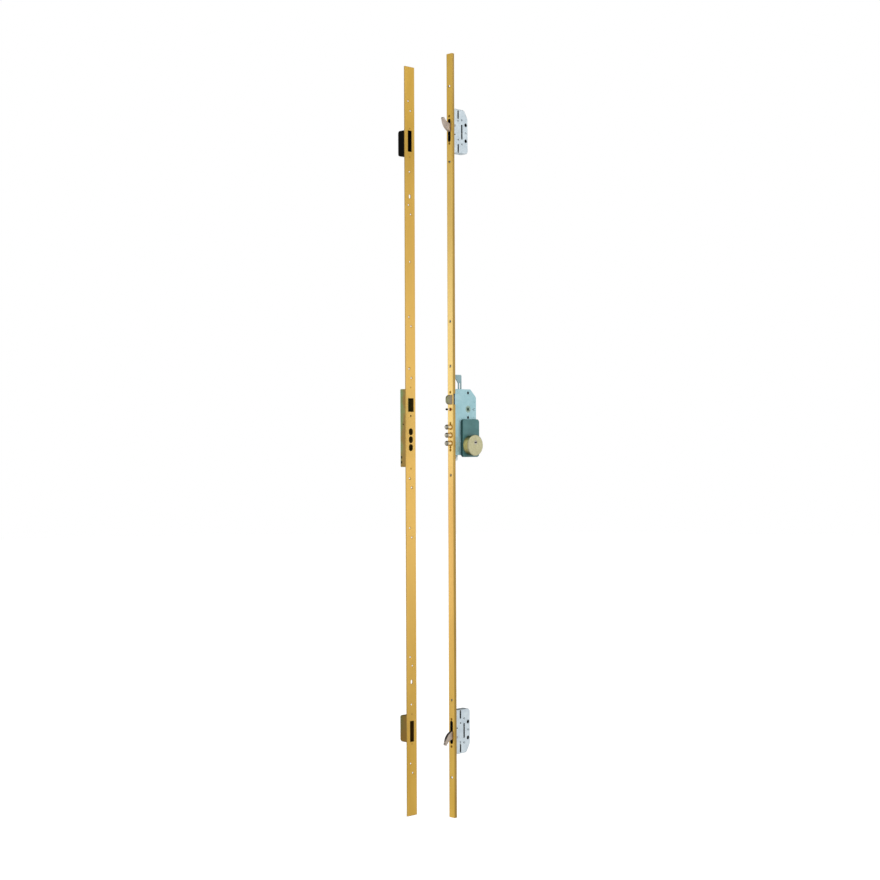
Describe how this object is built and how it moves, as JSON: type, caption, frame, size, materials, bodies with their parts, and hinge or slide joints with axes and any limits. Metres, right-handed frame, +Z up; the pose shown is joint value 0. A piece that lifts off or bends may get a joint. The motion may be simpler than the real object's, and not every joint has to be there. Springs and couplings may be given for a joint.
{
  "type": "multipoint mortise lock",
  "caption": "Key-driven multipoint mortise lock with hook bolts above and below a central case, and its full-length frame keeper.",
  "frame": {"origin": "middle of the faceplate's front face, level with the key cylinder's axis, in the lock's middle plane", "axes": "+X from the faceplate into the door (backset), +Z up, -Y towards the outside of the door, where the escutcheon is. The keeper stands at a right angle beside the lock, as in a door opened by a quarter turn, with its front facing -Y, 12 mm lower than when it is fitted."},
  "size_m": [0.1237, 0.236, 2.121],
  "materials": {
    "satin_gold_steel": "satin gold plating, brushed lengthwise",
    "blue_zinc_steel": "blue zinc plating on sheet steel",
    "hook_case_zinc": "pale zinc plating on sheet steel",
    "zinc_links": "zinc plated strip",
    "brassed_screws": "brassed steel",
    "cylinder_brass": "machined",
    "nickel_brass": "nickel plated",
    "sintered_steel": "sintered, oiled",
    "bright_steel": "turned",
    "chromed_bolts": "polished chrome",
    "sintered_latch": "sintered steel, dull nickel",
    "hook_steel": "cast steel, dull nickel",
    "spring_steel": "drawn wire",
    "follower_brass": "die-cast brass",
    "black_plastic": "moulded, fine grain",
    "armour_paint": "dark teal, satin",
    "escutcheon_brass": "satin",
    "escutcheon_nickel": "satin nickel over brass",
    "olive_passivated": "olive passivated steel"
  },
  "bodies": {
    "lock": {"faceplate": "satin_gold_steel", "keeper_plate": "satin_gold_steel", "case_body": "blue_zinc_steel", "case_cover": "blue_zinc_steel", "case_rivets": "blue_zinc_steel", "case_screws": "brassed_screws", "cylinder_screw": "brassed_screws", "keeper_box_screws": "brassed_screws", "cylinder_body": "cylinder_brass", "driver_pins": "cylinder_brass", "wheel_axle": "bright_steel", "latch_spring": "spring_steel", "follower_spring": "spring_steel", "trigger_spring": "spring_steel", "armour_plate": "armour_paint", "armour_screws": "bright_steel", "escutcheon_base": "escutcheon_brass", "escutcheon_disc": "escutcheon_nickel", "escutcheon_screws": "bright_steel", "keeper_upper_box": "black_plastic", "keeper_middle_box": "olive_passivated", "keeper_lower_box": "olive_passivated", "keeper_latch_lip": "olive_passivated", "upper_hook_case_body": "hook_case_zinc", "upper_hook_case_cover": "hook_case_zinc", "upper_hook_case_rivets": "hook_case_zinc", "upper_hook_pivot": "bright_steel", "lower_hook_case_body": "hook_case_zinc", "lower_hook_case_cover": "hook_case_zinc", "lower_hook_case_rivets": "hook_case_zinc", "lower_hook_pivot": "bright_steel"},
    "key": {"outer_plug": "nickel_brass", "inner_plug": "nickel_brass", "key_pins": "cylinder_brass", "cylinder_cam": "sintered_steel"},
    "gear_set": {"drive_wheel": "sintered_steel", "bolt_pinion": "sintered_steel", "rod_pinion": "sintered_steel"},
    "bolts": {"bolt_carriage": "sintered_steel", "carriage_pins": "bright_steel", "top_bolt": "chromed_bolts", "middle_bolt": "chromed_bolts", "bottom_bolt": "chromed_bolts"},
    "upper_drive": {"upper_link": "zinc_links", "upper_rod": "zinc_links", "upper_hook_slide": "sintered_steel", "upper_hook_guide_pins": "bright_steel"},
    "lower_drive": {"lower_link": "zinc_links", "lower_rod": "zinc_links", "lower_hook_slide": "sintered_steel", "lower_hook_guide_pins": "bright_steel"},
    "upper_hook": {"upper_hook_claw": "hook_steel"},
    "lower_hook": {"lower_hook_claw": "hook_steel"},
    "follower_hub": {"follower": "follower_brass"},
    "latch": {"latch_bolt": "sintered_latch", "latch_tail": "zinc_links"},
    "trigger": {"trigger_pin": "bright_steel", "trigger_tip": "black_plastic"}
  },
  "joints": [
    {"name": "key_turn", "type": "hinge", "parent": "lock", "child": "key", "pos_m": [0.06, 0, 0], "axis": [0, 1, 0], "range_deg": [0, 360]},
    {"name": "gear_turn", "type": "hinge", "parent": "lock", "child": "gear_set", "pos_m": [0.065, 0, 0.02958], "axis": [0, -1, 0], "range_deg": [0, 120.01]},
    {"name": "bolt_slide", "type": "slide", "parent": "lock", "child": "bolts", "axis": [1, 0, 0], "range_m": [0, 0.02042]},
    {"name": "upper_drive_slide", "type": "slide", "parent": "lock", "child": "upper_drive", "axis": [0, 0, 1], "range_m": [0, 0.01572]},
    {"name": "lower_drive_slide", "type": "slide", "parent": "lock", "child": "lower_drive", "axis": [0, 0, -1], "range_m": [0, 0.01572]},
    {"name": "upper_hook_turn", "type": "hinge", "parent": "lock", "child": "upper_hook", "pos_m": [0.0126, 0, 0.872], "axis": [0, -1, 0], "range_deg": [0, 102.87]},
    {"name": "lower_hook_turn", "type": "hinge", "parent": "lock", "child": "lower_hook", "pos_m": [0.0126, 0, -0.811], "axis": [0, 1, 0], "range_deg": [0, 102.87]},
    {"name": "follower_turn", "type": "hinge", "parent": "lock", "child": "follower_hub", "pos_m": [0.06, 0, 0.092], "axis": [0, 1, 0], "range_deg": [0, 34.38], "stiffness_Nm_per_rad": 0.8, "springref_deg": -28.65, "deforming": ["follower_spring"]},
    {"name": "latch_slide", "type": "slide", "parent": "lock", "child": "latch", "axis": [1, 0, 0], "range_m": [0, 0.012], "stiffness_N_per_m": 150, "springref_m": -0.01, "deforming": ["latch_spring"]},
    {"name": "trigger_slide", "type": "slide", "parent": "lock", "child": "trigger", "axis": [1, 0, 0], "range_m": [0, 0.012], "stiffness_N_per_m": 100, "springref_m": -0.01, "deforming": ["trigger_spring"]}
  ],
  "couplings": [
    {"joint": "key_turn", "follows": "bolt_slide", "rad_per_m": 307.69},
    {"joint": "gear_turn", "follows": "bolt_slide", "rad_per_m": 102.56},
    {"joint": "upper_drive_slide", "follows": "bolt_slide", "ratio": 0.76923},
    {"joint": "lower_drive_slide", "follows": "bolt_slide", "ratio": 0.76923},
    {"joint": "upper_hook_turn", "follows": "bolt_slide", "rad_per_m": 87.912},
    {"joint": "lower_hook_turn", "follows": "bolt_slide", "rad_per_m": 87.912},
    {"joint": "follower_turn", "follows": "latch_slide", "rad_per_m": 50}
  ]
}
